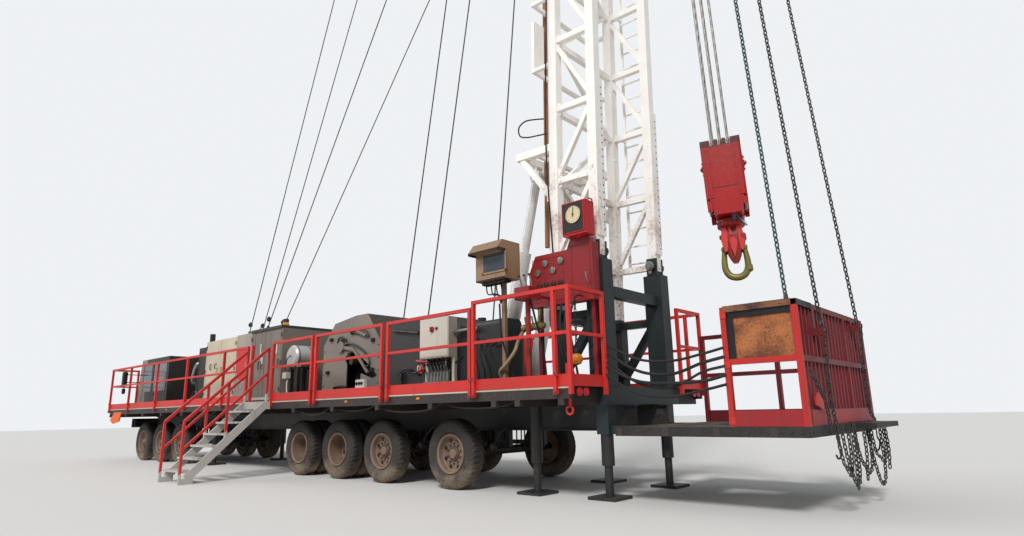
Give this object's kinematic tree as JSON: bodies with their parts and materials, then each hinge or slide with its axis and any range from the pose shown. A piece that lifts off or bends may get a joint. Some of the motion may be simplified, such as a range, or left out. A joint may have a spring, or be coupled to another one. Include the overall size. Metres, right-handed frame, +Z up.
{
  "type": "well service rig",
  "caption": "Wheeled oil well service rig, rigged up: raised telescoping lattice mast, travelling block and hook, drawworks, deck cabinets, railings, stairs and a hanging work floor",
  "frame": {"origin": "On the ground below the middle of the rig's overall box", "axes": "+X runs along the carrier from the cab to the well, +Y to the far side, +Z up"},
  "size_m": [19.9, 6.852, 30.7906],
  "materials": {
    "red_paint": "worn satin",
    "mast_white": "weathered satin",
    "black_paint": "dusty satin",
    "deck_red": "worn satin",
    "grey_paint": "satin",
    "cream_paint": "satin",
    "enclosure_paint": "satin",
    "guard_paint": "dusty satin",
    "dark_guard": "dusty satin",
    "console_red": "satin",
    "copper_paint": "satin",
    "light_steel": "dull",
    "dark_steel": "oily",
    "rusty_steel": "rusty",
    "wire": "greasy",
    "glass": "clear",
    "wheel": "dusty",
    "white_paint": "satin"
  },
  "bodies": {
    "rig": {"air_receiver": "white_paint", "axles": "black_paint", "back_brackets": "mast_white", "cab_glass": "glass", "cab_shell": "grey_paint", "chassis_frame": "black_paint", "console": "console_red", "cream_cabinet": "cream_paint", "crown_frame": "mast_white", "crown_sheaves": "dark_steel", "deck": "deck_red", "drums": "dark_steel", "engine": "grey_paint", "far_railing": "red_paint", "far_stairs": "light_steel", "floor_chains": "wire", "floor_railing": "red_paint", "hoist_lines": "wire", "hydraulic_tank": "dark_guard", "jacks": "black_paint", "ladder": "mast_white", "main_drum_guard": "guard_paint", "mast_back": "mast_white", "mast_base": "black_paint", "mast_far_side": "mast_white", "mast_near_side": "mast_white", "monitor_box": "copper_paint", "near_railing": "red_paint", "near_stairs": "light_steel", "panel_cabinet": "grey_paint", "pipes": "rusty_steel", "power_enclosure": "enclosure_paint", "racking_board": "mast_white", "radiator_housing": "dark_guard", "raising_rams": "light_steel", "sand_drum_guard": "dark_guard", "switchbox": "white_paint", "upper_mast": "mast_white", "valve_bank": "light_steel", "weight_indicator": "red_paint", "wind_plate": "rusty_steel", "wire_lines": "wire", "work_floor": "black_paint"},
    "drive_wheel_1_far": {"drive_wheel_1_far": "wheel"},
    "drive_wheel_1_near": {"drive_wheel_1_near": "wheel"},
    "drive_wheel_2_far": {"drive_wheel_2_far": "wheel"},
    "drive_wheel_2_near": {"drive_wheel_2_near": "wheel"},
    "steer_wheel_1_far": {"steer_wheel_1_far": "wheel"},
    "steer_wheel_1_near": {"steer_wheel_1_near": "wheel"},
    "steer_wheel_2_far": {"steer_wheel_2_far": "wheel"},
    "steer_wheel_2_near": {"steer_wheel_2_near": "wheel"},
    "steer_wheel_3_far": {"steer_wheel_3_far": "wheel"},
    "steer_wheel_3_near": {"steer_wheel_3_near": "wheel"},
    "tag_wheel_1_far": {"tag_wheel_1_far": "wheel"},
    "tag_wheel_1_near": {"tag_wheel_1_near": "wheel"},
    "tag_wheel_2_far": {"tag_wheel_2_far": "wheel"},
    "tag_wheel_2_near": {"tag_wheel_2_near": "wheel"},
    "travelling_block": {"travelling_block": "red_paint"},
    "hook": {"hook": "red_paint"}
  },
  "joints": [
    {"name": "drive_wheel_1_far_turn", "type": "hinge", "parent": "rig", "child": "drive_wheel_1_far", "pos_m": [0, 1.295, 0.525], "axis": [0, 1, 0], "continuous": true},
    {"name": "drive_wheel_1_near_turn", "type": "hinge", "parent": "rig", "child": "drive_wheel_1_near", "pos_m": [0, -1.295, 0.525], "axis": [0, 1, 0], "continuous": true},
    {"name": "drive_wheel_2_far_turn", "type": "hinge", "parent": "rig", "child": "drive_wheel_2_far", "pos_m": [1.332, 1.295, 0.525], "axis": [0, 1, 0], "continuous": true},
    {"name": "drive_wheel_2_near_turn", "type": "hinge", "parent": "rig", "child": "drive_wheel_2_near", "pos_m": [1.332, -1.295, 0.525], "axis": [0, 1, 0], "continuous": true},
    {"name": "steer_wheel_1_far_turn", "type": "hinge", "parent": "rig", "child": "steer_wheel_1_far", "pos_m": [-8.5, 1.295, 0.525], "axis": [0, 1, 0], "continuous": true},
    {"name": "steer_wheel_1_near_turn", "type": "hinge", "parent": "rig", "child": "steer_wheel_1_near", "pos_m": [-8.5, -1.295, 0.525], "axis": [0, 1, 0], "continuous": true},
    {"name": "steer_wheel_2_far_turn", "type": "hinge", "parent": "rig", "child": "steer_wheel_2_far", "pos_m": [-7.2, 1.295, 0.525], "axis": [0, 1, 0], "continuous": true},
    {"name": "steer_wheel_2_near_turn", "type": "hinge", "parent": "rig", "child": "steer_wheel_2_near", "pos_m": [-7.2, -1.295, 0.525], "axis": [0, 1, 0], "continuous": true},
    {"name": "steer_wheel_3_far_turn", "type": "hinge", "parent": "rig", "child": "steer_wheel_3_far", "pos_m": [-5.9, 1.295, 0.525], "axis": [0, 1, 0], "continuous": true},
    {"name": "steer_wheel_3_near_turn", "type": "hinge", "parent": "rig", "child": "steer_wheel_3_near", "pos_m": [-5.9, -1.295, 0.525], "axis": [0, 1, 0], "continuous": true},
    {"name": "tag_wheel_1_far_turn", "type": "hinge", "parent": "rig", "child": "tag_wheel_1_far", "pos_m": [2.664, 1.295, 0.525], "axis": [0, 1, 0], "continuous": true},
    {"name": "tag_wheel_1_near_turn", "type": "hinge", "parent": "rig", "child": "tag_wheel_1_near", "pos_m": [2.664, -1.295, 0.525], "axis": [0, 1, 0], "continuous": true},
    {"name": "tag_wheel_2_far_turn", "type": "hinge", "parent": "rig", "child": "tag_wheel_2_far", "pos_m": [4.394, 1.295, 0.525], "axis": [0, 1, 0], "continuous": true},
    {"name": "tag_wheel_2_near_turn", "type": "hinge", "parent": "rig", "child": "tag_wheel_2_near", "pos_m": [4.394, -1.295, 0.525], "axis": [0, 1, 0], "continuous": true},
    {"name": "block_travel", "type": "slide", "parent": "rig", "child": "travelling_block", "axis": [-0.034, 0, 0.9994], "range_m": [0, 21], "deforming": ["hoist_lines"]},
    {"name": "hook_swivel", "type": "hinge", "parent": "travelling_block", "child": "hook", "pos_m": [8.54, 0, 4.71], "axis": [-0.034, 0, 0.9994], "continuous": true}
  ]
}
